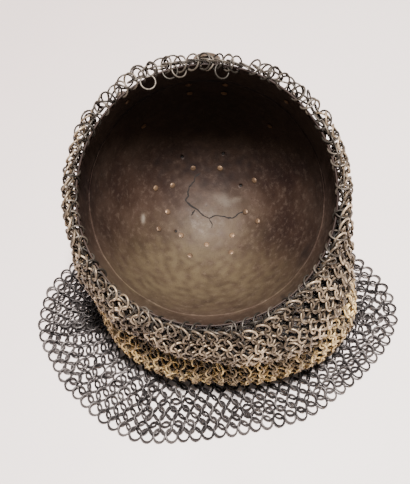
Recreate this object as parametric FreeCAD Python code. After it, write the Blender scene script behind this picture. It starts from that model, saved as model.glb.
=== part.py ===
import FreeCAD, Part
import math
import os

from FreeCAD import Placement, Rotation, Vector

# The helmet lies mouth up on a table, tilted towards the viewer, with its mail fanned out in front.
# Lengths are in millimetres and angles in degrees. Azimuth 90 is the face and 270 is the nape.

# How the helmet lies
tilt = 24.0
table_centre_y = -9.7

# The bowl, a raised steel skull with an egg-shaped profile
rim_radius = 100.0
bowl_depth = 140.0
side_radius = 193.3
side_steps = 4
crown_steps = 7
wall = 1.6
seat_gap = 0.2

# Holes along the rim and the links that hang in them
link_count = 66
link_wire = 1.0
link_sides = 8
rim_hole_radius = 2.05
rim_hole_sides = 6
rim_hole_edge = 3.2
rim_link_radius = 6.3
rim_link_turn = 24.0
rim_link_swing = 14.4
second_link_radius = 6.5
second_link_along = 6.78
second_link_out = 4.2
second_link_up = 1.26
second_link_turn = -13.9
second_link_lean = -8.5

# Rosette outside the crown with its two rings of rivets
plate_thickness = 1.2
petal_count = 8
petal_phase = 27.0
petal_tip_radius = 60.0
petal_valley_radius = 45.0
outer_rivet_radius = 50.4
outer_rivets_lost = (1, 2)
inner_rivet_count = 9
inner_rivet_phase = 30.0
inner_rivet_radius = 37.5
inner_rivets_lost = (0,)
rivet_shank_radius = 1.5
rivet_head_radius = 2.7
rivet_head_height = 1.1
rivet_crest_share = 0.55
rivet_sides = 8
rivet_clearance = 0.15
peen_gap = 0.35

# Spike on its socket
socket_radius = 15.0
socket_neck_radius = 6.5
socket_height = 10.0
socket_bore_depth = 7.0
tang_radius = 3.5
tang_clearance = 0.05
spike_width = 8.0
spike_tip_width = 1.8
spike_length = 18.0

# Plume holders at both sides of the face
plume_spread = 40.0
plume_height = 46.0
plume_tube_radius = 5.0
plume_bore_radius = 4.0
plume_tube_length = 42.0
plume_bore_depth = 37.0
plume_plate_length = 66.0
plume_plate_width = 24.0
plume_rivet_spacing = 54.0

# Nasal bar, its bracket and its thumb screw
bar_width = 12.0
bar_thickness = 3.0
bar_lean = 7.5
bar_standoff = 8.8
bar_clearance = 0.1
bracket_drop = 36.0
bracket_length = 24.0
bracket_width = 19.0
bracket_wall = 2.4
bracket_flange_width = 44.0
bracket_flange_length = 28.0
bracket_rivet_spread = 32.0
bracket_rivet_spacing = 15.0
nasal_travel = 70.0
stop_gap = 0.1
collar_width = 18.0
collar_length = 4.0
leaf_length = 24.0
leaf_width = 22.0
screw_radius = 2.0
screw_clearance = 0.05
screw_head_radius = 4.0
screw_head_height = 2.0
wing_length = 18.0
wing_width = 9.0
wing_thickness = 2.0
wing_dip_share = 0.7

# Mail, from the links down to the table
mail_thickness = 3.0
mail_start_out = 8.3
mail_start_drop = 0.5
mail_half_span = 125.0
mail_step = 12.5
fold_depth = 1.6
sheet_panels = 5
upper_mail_drop = 54.0
upper_bulge = 9.0
band_bulge = 9.0
band_tuck = 8.0
band_foot_least = 2.0
band_rest_span = 95.0
band_edge_rise = 70.0
seam_gap = 0.3

# The mail stands further out on the viewer's right: azimuth, half width and reach of each swell
nape_reach = 3.0
side_reach = 8.5
crevice_swell = (318.0, 33.0, 23.5)
band_swells = ((252.0, 30.0, 15.0), (325.0, 36.0, 36.0))

# The skirt, a net that lies flat on the table
skirt_centre_x = 8.0
skirt_centre_y = 3.0
skirt_inner_radius = 104.0
skirt_outer_radius = 171.0
skirt_thickness = 2.0
skirt_seam_span = 34.0
skirt_inner_ends = (172.0, 368.0)
skirt_outer_ends = (193.0, 347.0)
skirt_row_count = 6
skirt_row_spacing = 9.6
skirt_gap_pitch = 12.0
skirt_gap_width = 8.6
skirt_gap_height = 8.2

face_azimuth = 90.0
nape_azimuth = 270.0
up = Vector(0, 0, 1)
middle = Vector(0, 0, 0)

# The profile is a long side arc, square to the rim, that runs tangent into a crown arc
side_centre = side_radius - rim_radius
crown_radius = (2 * side_centre * rim_radius + rim_radius**2 - bowl_depth**2) / (
    2 * (rim_radius - bowl_depth + side_centre)
)
crown_centre = bowl_depth - crown_radius
join_slope = math.atan2(crown_centre, side_centre)

# Skins are distances from the bowl's inside face
plate_inside = wall + seat_gap
plate_outside = plate_inside + plate_thickness
spike_base_inside = plate_outside + seat_gap
spike_reach = bowl_depth + spike_base_inside + socket_height + spike_length
sine = math.sin(math.radians(tilt))
cosine = math.cos(math.radians(tilt))
rim_height = spike_reach * cosine + spike_tip_width / 2 * sine


def ray(azimuth):
    angle = math.radians(azimuth)
    return Vector(math.cos(angle), math.sin(angle), 0)


def cut_all(shape, tools):
    return shape.cut(Part.makeCompound(tools)) if tools else shape


def fused(pieces):
    return pieces[0].fuse(pieces[1:]).removeSplitter()


def framed(shape, origin, x_axis, y_axis, z_axis):
    placed = shape.copy()
    placed.Placement = Placement(origin, Rotation(x_axis, y_axis, z_axis, "XYZ"))
    return placed


# Slopes at which every skin of the bowl has a corner, so that skins lie parallel
def skin_slopes():
    side = [join_slope * k / side_steps for k in range(side_steps)]
    rest = math.pi / 2 - join_slope
    return side + [join_slope + rest * k / crown_steps for k in range(crown_steps + 1)]


# Points of one skin's profile in the XZ plane, from the rim to the crown
def skin_profile(skin):
    points = []
    for slope in skin_slopes():
        on_side = slope < join_slope
        radius = (side_radius if on_side else crown_radius) + skin
        shift = -side_centre if on_side else 0
        sink = 0 if on_side else crown_centre
        x = max(0, shift + radius * math.cos(slope))
        points.append(Vector(x, 0, -sink - radius * math.sin(slope)))
    points[-1].x = 0
    return points


# Point on a skin and the direction square to it, where a test on the profile first holds
def skin_spot(azimuth, skin, reading, value):
    points = skin_profile(skin)
    for first, last in zip(points, points[1:]):
        if reading(last) <= value:
            break
    share = (reading(first) - value) / (reading(first) - reading(last))
    spot = first + (last - first) * share
    run = (last - first).normalize()
    out = ray(azimuth)
    return out * spot.x + up * spot.z, out * -run.z + up * run.x


def skin_at_drop(azimuth, drop, skin):
    return skin_spot(azimuth, skin, lambda point: point.z, -drop)


def crown_drop(radius, skin):
    point, normal = skin_spot(0, skin, lambda point: point.x, radius)
    return -point.z


def skin_shell(inside, outside):
    inner = skin_profile(inside)
    outer = skin_profile(outside)
    outline = Part.makePolygon(inner + outer[::-1] + inner[:1])
    return Part.Face(outline).revolve(middle, up, 360)


def many_sided(sides, radius, height):
    corners = [ray(360 * side / sides) * radius + up * height for side in range(sides + 1)]
    return Part.makePolygon(corners)


def prism(sides, radius, height, origin, axis):
    body = Part.Face(many_sided(sides, radius, 0)).extrude(up * height)
    body.Placement = Placement(origin, Rotation(up, axis))
    return body


# A solid with flat sides between two outlines that have as many corners, each in one plane
def tapered(low, high):
    bottom = [vertex.Point for vertex in low.OrderedVertexes]
    top = [vertex.Point for vertex in high.OrderedVertexes]
    faces = [Part.Face(low), Part.Face(high)]
    for k, corner in enumerate(bottom):
        after = (k + 1) % len(bottom)
        side = [corner, bottom[after], top[after], top[k], corner]
        faces.append(Part.Face(Part.makePolygon(side)))
    return Part.Solid(Part.makeShell(faces))


# A rod square to the bowl, from one skin to another, for rivet holes
def skin_rod(azimuth, drop, inside, outside):
    point, normal = skin_at_drop(azimuth, drop, 0)
    radius = rivet_shank_radius + rivet_clearance
    return prism(rivet_sides, radius, outside - inside, point + normal * inside, normal)


def inner_rivet_azimuths():
    return [inner_rivet_phase + 360 * k / inner_rivet_count for k in range(inner_rivet_count)]


def outer_rivet_azimuths():
    return [petal_phase + 360 * k / petal_count for k in range(petal_count)]


def kept(azimuths, lost):
    return [azimuth for k, azimuth in enumerate(azimuths) if k not in lost]


def plume_azimuths():
    return face_azimuth + plume_spread, face_azimuth - plume_spread


def plume_rivet_spots():
    return [
        (azimuth, plume_height + side * plume_rivet_spacing / 2)
        for azimuth in plume_azimuths()
        for side in (-1, 1)
    ]


def bracket_middle():
    return bracket_drop + bracket_length / 2


def bracket_rivet_spots():
    reach = math.degrees(bracket_rivet_spread / 2 / rim_radius)
    return [
        (face_azimuth + side * reach, bracket_middle() + end * bracket_rivet_spacing / 2)
        for side in (-1, 1)
        for end in (-1, 1)
    ]


def rivet_holes(azimuths, radius, outside):
    drop = crown_drop(radius, 0)
    return [skin_rod(azimuth, drop, -wall, outside) for azimuth in azimuths]


def link_azimuths():
    return [360 * k / link_count for k in range(link_count)]


def rim_hole(azimuth):
    start = ray(azimuth) * (rim_radius - wall) - up * rim_hole_edge
    return prism(rim_hole_sides, rim_hole_radius, 4 * wall, start, ray(azimuth))


def bowl():
    holes = [rim_hole(azimuth) for azimuth in link_azimuths()]
    holes += rivet_holes(inner_rivet_azimuths(), inner_rivet_radius, 2 * wall)
    holes += rivet_holes(outer_rivet_azimuths(), outer_rivet_radius, 2 * wall)
    for azimuth, drop in plume_rivet_spots() + bracket_rivet_spots():
        holes.append(skin_rod(azimuth, drop, -wall, 2 * wall))
    return cut_all(skin_shell(0, wall), holes)


# Octagonal ring of square wire round the origin, flat in XY
def link(radius):
    outside = prism(link_sides, radius + link_wire / 2, link_wire, up * (-link_wire / 2), up)
    inside = prism(link_sides, radius - link_wire / 2, 3 * link_wire, up * (-1.5 * link_wire), up)
    return outside.cut(inside)


def rim_links():
    ring = link(rim_link_radius)
    turn = math.radians(rim_link_turn)
    swing = math.radians(rim_link_swing)
    links = []
    for azimuth in link_azimuths():
        out = ray(azimuth)
        along = ray(azimuth - 90)
        across = along * math.sin(turn) + out * math.cos(turn)
        hole = out * (rim_radius + wall / 2) - up * rim_hole_edge
        centre = hole + (across * math.sin(swing) + up * math.cos(swing)) * rim_link_radius
        links.append(framed(ring, centre, across, up, across.cross(up)))
    return Part.makeCompound(links)


def second_links():
    ring = link(second_link_radius)
    turn = math.radians(second_link_turn)
    lean = math.radians(second_link_lean)
    links = []
    for azimuth in link_azimuths():
        out = ray(azimuth)
        along = ray(azimuth - 90)
        across = along * math.cos(turn) + out * math.sin(turn)
        square = out * math.cos(turn) - along * math.sin(turn)
        rise = square * math.sin(lean) + up * math.cos(lean)
        hole = out * (rim_radius + wall / 2) - up * rim_hole_edge
        centre = hole + along * second_link_along + out * second_link_out + up * second_link_up
        links.append(framed(ring, centre, across, rise, across.cross(rise)))
    return Part.makeCompound(links)


def crown_plate():
    half = 180 / petal_count
    edges = []
    for k in range(petal_count):
        azimuth = petal_phase + 360 * k / petal_count
        first = ray(azimuth - half) * petal_valley_radius
        last = ray(azimuth + half) * petal_valley_radius
        edges.append(Part.Arc(first, ray(azimuth) * petal_tip_radius, last).toShape())
    outline = Part.Face(Part.Wire(edges)).extrude(up * -2 * bowl_depth)
    plate = skin_shell(plate_inside, plate_outside).common(outline)
    holes = rivet_holes(inner_rivet_azimuths(), inner_rivet_radius, 4 * wall)
    holes += rivet_holes(outer_rivet_azimuths(), outer_rivet_radius, 4 * wall)
    return cut_all(plate, holes)


# A rivet square to the bowl: a peened end inside, a shank, and a head on the piece that it holds
def rivet(azimuth, drop, outside):
    foot, normal = skin_at_drop(azimuth, drop, 0)
    peen = rivet_head_height / 2
    crest = rivet_head_radius * rivet_crest_share
    top = outside + seat_gap
    end_crest = many_sided(rivet_sides, crest, -peen_gap - peen)
    end = tapered(end_crest, many_sided(rivet_sides, rivet_head_radius, -peen_gap))
    shank = prism(rivet_sides, rivet_shank_radius, top + peen_gap, up * -peen_gap, up)
    head_crest = many_sided(rivet_sides, crest, top + rivet_head_height)
    head = tapered(many_sided(rivet_sides, rivet_head_radius, top), head_crest)
    body = fused([shank, end, head])
    body.Placement = Placement(foot, Rotation(up, normal))
    return body


def rivets(spots, outside):
    return Part.makeCompound([rivet(azimuth, drop, outside) for azimuth, drop in spots])


def crown_inner_rivets():
    drop = crown_drop(inner_rivet_radius, 0)
    azimuths = kept(inner_rivet_azimuths(), inner_rivets_lost)
    return rivets([(azimuth, drop) for azimuth in azimuths], plate_outside)


def crown_outer_rivets():
    drop = crown_drop(outer_rivet_radius, 0)
    azimuths = kept(outer_rivet_azimuths(), outer_rivets_lost)
    return rivets([(azimuth, drop) for azimuth in azimuths], plate_outside)


def plume_rivets():
    return rivets(plume_rivet_spots(), plate_outside)


def nasal_bracket_rivets():
    return rivets(bracket_rivet_spots(), plate_outside)


# A flared socket whose hollow foot follows the crown plate
def spike_base():
    foot = [point for point in skin_profile(spike_base_inside) if point.x < socket_radius]
    drop = crown_drop(socket_radius, spike_base_inside)
    edge = Vector(socket_radius, 0, -drop)
    top = foot[-1].z - socket_height
    lip = Vector(socket_radius, 0, foot[-1].z - plate_thickness)
    neck = Vector(socket_neck_radius, 0, top + socket_height / 3)
    waist = Vector((socket_radius + 2 * socket_neck_radius) / 3, 0, (2 * lip.z + neck.z) / 3)
    outline = [edge, lip, waist, neck, Vector(socket_neck_radius, 0, top), Vector(0, 0, top)]
    face = Part.Face(Part.makePolygon(outline + foot[::-1] + [edge]))
    base = face.revolve(middle, up, 360)
    bore = Part.makeCylinder(tang_radius + tang_clearance, socket_bore_depth, Vector(0, 0, top), up)
    return base.cut(bore)


def square_wire(width, height):
    half = width / 2
    corners = [(-half, -half), (half, -half), (half, half), (-half, half), (-half, -half)]
    return Part.makePolygon([Vector(x, y, height) for x, y in corners])


def spike():
    foot = -bowl_depth - spike_base_inside - socket_height
    blade = tapered(square_wire(spike_tip_width, foot - spike_length), square_wire(spike_width, foot))
    tang = Part.makeCylinder(tang_radius, socket_bore_depth - seat_gap, Vector(0, 0, foot), up)
    return fused([blade, tang])


# Pointed oval in the YZ plane, between two points on the Z axis
def leaf_face(low, high, width):
    bottom = Vector(0, 0, low)
    top = Vector(0, 0, high)
    level = (low + high) / 2
    right = Part.Arc(bottom, Vector(0, width / 2, level), top).toShape()
    left = Part.Arc(top, Vector(0, -width / 2, level), bottom).toShape()
    return Part.Face(Part.Wire([right, left]))


# Axes of a piece that lies along the bowl's side: out of the wall, around it and towards the rim
def side_axes(azimuth, slope):
    out = ray(azimuth)
    square = out * math.cos(slope) - up * math.sin(slope)
    rimward = out * math.sin(slope) + up * math.cos(slope)
    return square, rimward.cross(square), rimward


def plume_holder(azimuth):
    point, normal = skin_at_drop(azimuth, plume_height, plate_outside)
    square, around, rimward = side_axes(azimuth, math.asin(-normal.z))
    half = plume_plate_length / 2
    stamp = leaf_face(-half, half, plume_plate_width).extrude(Vector(6 * wall, 0, 0))
    stamp = framed(stamp, point - square * 4 * wall, square, around, rimward)
    plate = skin_shell(plate_inside, plate_outside).common(stamp)
    centre = point + square * (plume_tube_radius - plate_thickness / 3)
    low = centre + rimward * plume_tube_length / 2
    tube = Part.makeCylinder(plume_tube_radius, plume_tube_length, low, -rimward)
    cap = Part.makeCone(plume_tube_radius, plume_tube_radius / 2, plume_tube_radius / 2, low, rimward)
    body = fused([plate, tube, cap])
    mouth = centre - rimward * plume_tube_length / 2
    bore = Part.makeCylinder(plume_bore_radius, plume_bore_depth, mouth, rimward)
    holes = [bore]
    for side in (-1, 1):
        drop = plume_height + side * plume_rivet_spacing / 2
        holes.append(skin_rod(azimuth, drop, -wall, 4 * wall))
    holes.append(skin_shell(-wall, plate_inside))
    return cut_all(body, holes)


# Shapes made in the bar's own axes, X out of the bar, Y across it and Z along it, set at the face
def at_bar(shape):
    slope = math.radians(bar_lean)
    square, around, along = side_axes(face_azimuth, slope)
    origin = ray(face_azimuth) * (rim_radius + wall + bar_standoff)
    return framed(shape, origin, square, around, along)


def slab(low_x, high_x, width, low_z, high_z):
    corner = Vector(low_x, -width / 2, low_z)
    return Part.makeBox(high_x - low_x, width, high_z - low_z, corner)


def bracket_foot():
    return -bracket_drop - bracket_length


def nasal_bracket():
    foot = bracket_foot()
    top = bar_thickness + bracket_wall
    block = slab(-bracket_length, top, bracket_width, foot, -bracket_drop)
    window_width = bracket_width - 2 * bracket_wall
    window = slab(-bracket_length, -bracket_wall, window_width, foot - 1, 1 - bracket_drop)
    block = at_bar(block.cut(window)).cut(skin_shell(-rim_radius / 2, plate_inside))
    point, normal = skin_at_drop(face_azimuth, bracket_middle(), plate_outside)
    square, around, rimward = side_axes(face_azimuth, math.asin(-normal.z))
    half = bracket_flange_length / 2
    stamp = slab(-4 * wall, 2 * wall, bracket_flange_width, -half, half)
    stamp = framed(stamp, point, square, around, rimward)
    flange = skin_shell(plate_inside, plate_outside).common(stamp)
    body = fused([flange, block])
    slot_width = bar_width + 2 * bar_clearance
    slot_depth = bar_thickness + bar_clearance
    slot = slab(-bar_clearance, slot_depth, slot_width, foot - 1, 1 - bracket_drop)
    start = Vector(1, 0, -bracket_middle())
    hole = Part.makeCylinder(screw_radius + screw_clearance, 2 * top, start, Vector(1, 0, 0))
    holes = [at_bar(slot), at_bar(hole)]
    for azimuth, drop in bracket_rivet_spots():
        holes.append(skin_rod(azimuth, drop, -wall, 4 * wall))
    return cut_all(body, holes)


def nasal_bar():
    thick = Vector(bar_thickness, 0, 0)
    low_collar = stop_gap - bracket_drop
    high_collar = bracket_foot() - stop_gap - nasal_travel
    blade = slab(0, bar_thickness, bar_width, high_collar, low_collar)
    pieces = [blade]
    for edge, way in ((low_collar, 1), (high_collar, -1)):
        ends = sorted((edge, edge + way * collar_length))
        pieces.append(slab(0, bar_thickness, collar_width, ends[0], ends[1]))
        tips = sorted((edge, edge + way * (collar_length + leaf_length)))
        pieces.append(leaf_face(tips[0], tips[1], leaf_width).extrude(thick))
    return at_bar(fused(pieces))


# Flat wing that stands on the screw's head, drawn in the plane of the bar's length
def screw_wing(base):
    half = wing_length / 2
    first = Vector(base, 0, -half / 3)
    left = Vector(base + wing_width, 0, -half)
    dip = Vector(base + wing_width * wing_dip_share, 0, 0)
    right = Vector(base + wing_width, 0, half)
    last = Vector(base, 0, half / 3)
    edges = [
        Part.LineSegment(first, left).toShape(),
        Part.Arc(left, dip, right).toShape(),
        Part.LineSegment(right, last).toShape(),
        Part.LineSegment(last, first).toShape(),
    ]
    wing = Part.Face(Part.Wire(edges)).extrude(Vector(0, wing_thickness, 0))
    wing.translate(Vector(0, -wing_thickness / 2, 0))
    return wing


def nasal_screw():
    out = Vector(1, 0, 0)
    tip = bar_thickness + bar_clearance
    seat = bar_thickness + bracket_wall + stop_gap
    pieces = [
        Part.makeCylinder(screw_radius, seat - tip, out * tip, out),
        Part.makeCylinder(screw_head_radius, screw_head_height, out * seat, out),
        screw_wing(seat + screw_head_height / 2),
    ]
    for piece in pieces:
        piece.translate(up * -bracket_middle())
    return at_bar(fused(pieces))


# The mail is worked out where the helmet lies, azimuth by azimuth round the rim
def rim_point(azimuth):
    out = ray(azimuth) * (rim_radius + wall)
    return Vector(out.x, out.y * cosine, rim_height + out.y * sine)


# Reach of a swell of the mail at an azimuth
def swell(azimuth, shape):
    middle_azimuth, half_width, reach = shape
    return reach * math.exp(-(((azimuth - middle_azimuth) / half_width) ** 2))


# Closed section of a hanging sheet, bulged outwards between its top and its foot
def sheet_section(azimuth, top_reach, top, foot_reach, foot, bulge):
    out = ray(azimuth)
    edge = rim_point(azimuth)
    inner = []
    for k in range(sheet_panels + 1):
        share = k / sheet_panels
        reach = top_reach + (foot_reach - top_reach) * share + bulge * math.sin(math.pi * share)
        level = top + (foot - top) * share
        inner.append(Vector(edge.x, edge.y, 0) + out * reach + up * level)
    outer = [point + out * mail_thickness for point in inner]
    return Part.makePolygon(inner + outer[::-1] + inner[:1])


def mail_azimuths(half_span):
    steps = max(2, round(2 * half_span / mail_step))
    return [nape_azimuth - half_span + 2 * half_span * k / steps for k in range(steps + 1)]


# How much the mail bulges at an azimuth, from 1 at the nape to nothing beside the bowl
def nape_share(azimuth):
    return max(0, math.cos(math.radians(azimuth - nape_azimuth)))


def upper_foot(azimuth):
    return rim_point(azimuth).z - upper_mail_drop


def plain_reach(azimuth):
    share = nape_share(azimuth)
    return nape_reach * share + side_reach * (1 - share)


def crevice_reach(azimuth):
    return plain_reach(azimuth) + swell(azimuth, crevice_swell)


def band_foot_reach(azimuth):
    reach = plain_reach(azimuth) - band_tuck + sum(swell(azimuth, shape) for shape in band_swells)
    return max(band_foot_least, reach)


def upper_mail():
    sections = []
    for k, azimuth in enumerate(mail_azimuths(mail_half_span)):
        fold = fold_depth * (-1) ** k
        top = rim_point(azimuth).z - mail_start_drop
        bulge = upper_bulge * nape_share(azimuth) + fold
        foot = upper_foot(azimuth)
        reach = crevice_reach(azimuth)
        sections.append(sheet_section(azimuth, mail_start_out, top, reach, foot, bulge))
    return Part.makeLoft(sections, True, True)


def brass_mail_band():
    sections = []
    rest = skirt_thickness + seam_gap
    for k, azimuth in enumerate(mail_azimuths(mail_half_span)):
        fold = fold_depth * (-1) ** k
        past = max(0, abs(azimuth - nape_azimuth) - band_rest_span)
        rise = band_edge_rise * past / (mail_half_span - band_rest_span)
        bulge = band_bulge * nape_share(azimuth) + fold
        top = upper_foot(azimuth) - seam_gap
        reach = band_foot_reach(azimuth)
        foot = rest + rise
        sections.append(sheet_section(azimuth, crevice_reach(azimuth), top, reach, foot, bulge))
    return Part.makeLoft(sections, True, True)


# Azimuth at which a straight end of the net, from its inner to its outer edge, has a radius
def end_azimuth(end, radius):
    start = ray(end[0]) * skirt_inner_radius
    run = ray(end[1]) * skirt_outer_radius - start
    along = start.dot(run)
    square = run.dot(run)
    root = math.sqrt(along**2 + square * (radius**2 - start.dot(start)))
    spot = start + run * ((root - along) / square)
    azimuth = math.degrees(math.atan2(spot.y, spot.x))
    return azimuth + 360 * round((end[0] - azimuth) / 360)


# One sector of the net, from one end to another, with its gaps in rows
def skirt_sector(first_end, last_end):
    centre = Vector(skirt_centre_x, skirt_centre_y, 0)
    inner_azimuths = (first_end[0], (first_end[0] + last_end[0]) / 2, last_end[0])
    outer_azimuths = (first_end[1], (first_end[1] + last_end[1]) / 2, last_end[1])
    inner = [centre + ray(azimuth) * skirt_inner_radius for azimuth in inner_azimuths]
    outer = [centre + ray(azimuth) * skirt_outer_radius for azimuth in outer_azimuths]
    edges = [
        Part.Arc(inner[0], inner[1], inner[2]).toShape(),
        Part.LineSegment(inner[2], outer[2]).toShape(),
        Part.Arc(outer[2], outer[1], outer[0]).toShape(),
        Part.LineSegment(outer[0], inner[0]).toShape(),
    ]
    wires = [Part.Wire(edges)]
    rows_depth = skirt_row_spacing * (skirt_row_count - 1)
    spread = (skirt_outer_radius - skirt_inner_radius - rows_depth) / 2
    for row in range(skirt_row_count):
        radius = skirt_inner_radius + spread + row * skirt_row_spacing
        first = end_azimuth(first_end, radius)
        last = end_azimuth(last_end, radius)
        columns = int(math.radians(last - first) * radius / skirt_gap_pitch)
        step = (last - first) / columns
        for column in range(columns):
            azimuth = first + (column + 0.5) * step
            out = ray(azimuth)
            along = ray(azimuth + 90)
            spot = centre + out * radius
            corners = [
                spot + out * skirt_gap_height / 2,
                spot + along * skirt_gap_width / 2,
                spot - out * skirt_gap_height / 2,
                spot - along * skirt_gap_width / 2,
                spot + out * skirt_gap_height / 2,
            ]
            wires.append(Part.makePolygon(corners))
    return Part.Face(wires, "Part::FaceMakerBullseye").extrude(up * skirt_thickness)


def skirt_sectors():
    seams = (nape_azimuth - skirt_seam_span, nape_azimuth + skirt_seam_span)
    ends = [(seam, seam) for seam in seams]
    ends.insert(0, (skirt_inner_ends[0], skirt_outer_ends[0]))
    ends.append((skirt_inner_ends[1], skirt_outer_ends[1]))
    return [skirt_sector(first, last) for first, last in zip(ends, ends[1:])]


# Stands the helmet in its tilted place, with the origin under the middle of the whole part
def laid(shape, on_table=False):
    placed = shape.copy()
    if not on_table:
        placed.rotate(middle, Vector(1, 0, 0), tilt)
        placed.translate(up * rim_height)
    placed.translate(Vector(-skirt_centre_x, -table_centre_y, 0))
    return placed


def export(name, shape):
    shape.exportStep(os.path.join("parts", name + ".step"))


def main():
    os.makedirs("parts", exist_ok=True)
    export("bowl", laid(bowl()))
    export("rim_links", laid(rim_links()))
    export("second_links", laid(second_links()))
    export("crown_plate", laid(crown_plate()))
    export("crown_inner_rivets", laid(crown_inner_rivets()))
    export("crown_outer_rivets", laid(crown_outer_rivets()))
    export("spike_base", laid(spike_base()))
    export("spike", laid(spike()))
    for name, azimuth in zip(("plume_holder_left", "plume_holder_right"), plume_azimuths()):
        export(name, laid(plume_holder(azimuth)))
    export("plume_rivets", laid(plume_rivets()))
    export("nasal_bracket", laid(nasal_bracket()))
    export("nasal_bracket_rivets", laid(nasal_bracket_rivets()))
    export("nasal_bar", laid(nasal_bar()))
    export("nasal_screw", laid(nasal_screw()))
    export("upper_mail", laid(upper_mail(), True))
    export("brass_mail_band", laid(brass_mail_band(), True))
    sectors = zip(("mail_skirt_left", "mail_skirt_front", "mail_skirt_right"), skirt_sectors())
    for name, sector in sectors:
        export(name, laid(sector, True))


main()
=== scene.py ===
import math
import random

import bpy
import numpy as np
from mathutils import Matrix, Quaternion, Vector, noise
from mathutils.bvhtree import BVHTree


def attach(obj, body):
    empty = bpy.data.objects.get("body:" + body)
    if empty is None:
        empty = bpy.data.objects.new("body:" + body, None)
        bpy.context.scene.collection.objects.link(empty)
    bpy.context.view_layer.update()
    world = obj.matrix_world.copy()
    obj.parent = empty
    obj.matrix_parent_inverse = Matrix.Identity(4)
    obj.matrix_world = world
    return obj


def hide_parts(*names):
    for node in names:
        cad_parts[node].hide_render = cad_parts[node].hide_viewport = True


# Lengths of the helmet are in millimetres until the last moment, in two frames:
# the bowl's own, mouth up round the middle of its rim, and the part's, where it lies on the table.
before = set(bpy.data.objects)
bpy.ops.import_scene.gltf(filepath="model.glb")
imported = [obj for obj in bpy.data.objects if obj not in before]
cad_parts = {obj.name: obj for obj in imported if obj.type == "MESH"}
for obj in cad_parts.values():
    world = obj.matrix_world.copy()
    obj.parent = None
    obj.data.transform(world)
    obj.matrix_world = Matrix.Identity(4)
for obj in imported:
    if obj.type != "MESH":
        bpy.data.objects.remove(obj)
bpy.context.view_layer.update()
millimetre = 0.001
lean = math.radians(24)
rimCentre = Vector((-8.0, 9.7, 156.765))
layDown = Matrix.Rotation(lean, 3, "X")
dice = random.Random(7)


def ray(degrees):
    angle = math.radians(degrees)
    return Vector((math.cos(angle), math.sin(angle), 0))


def laid(spot):  # from the bowl's own frame to the part's
    return layDown @ Vector(spot) + rimCentre


# Camera at the photograph's viewing angle
photo = {"width": 410, "height": 484, "middle": (205, 242), "focal": 715}
camSpot = Vector((-9.5, -251.3, 642.0))
camPitch = math.radians(24.5)
camSide = Vector((1, 0, 0))
camAim = Vector((0, math.sin(camPitch), -math.cos(camPitch)))
camUp = Vector((0, math.cos(camPitch), math.sin(camPitch)))


def addCamera():
    data = bpy.data.cameras.new("camera")
    data.sensor_width = 36
    data.lens = photo["focal"] / photo["height"] * data.sensor_width
    data.clip_start = 0.05
    camera = bpy.data.objects.new("camera", data)
    camera.location = camSpot * millimetre
    camera.rotation_euler = (camPitch, 0, 0)
    bpy.context.scene.collection.objects.link(camera)
    bpy.context.scene.camera = camera


def sight(pixel):  # direction in which the camera sees a pixel
    across = (pixel[0] - photo["middle"][0]) / photo["focal"]
    rise = (photo["middle"][1] - pixel[1]) / photo["focal"]
    return (camAim + camSide * across + camUp * rise).normalized()


def spotAtHeight(pixel, height):
    way = sight(pixel)
    return camSpot + way * ((height - camSpot.z) / way.z)


def pixelOf(spot):
    away = spot - camSpot
    scale = photo["focal"] / away.dot(camAim)
    return (photo["middle"][0] + away.dot(camSide) * scale, photo["middle"][1] - away.dot(camUp) * scale)


# Meshes and node helpers
def newMesh(name, points, faces, smooth=True):
    mesh = bpy.data.meshes.new(name)
    mesh.from_pydata([tuple(c * millimetre for c in p) for p in points], [], faces)
    mesh.validate()
    if smooth:
        mesh.shade_smooth()
    mesh.update()
    return mesh


def newPiece(name, mesh, material, body="helmet", replaces=()):
    piece = bpy.data.objects.new(name, mesh)
    bpy.context.scene.collection.objects.link(piece)
    if material is not None:
        mesh.materials.clear()
        mesh.materials.append(material)
    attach(piece, body)
    if replaces:
        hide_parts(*replaces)
    return piece


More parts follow.
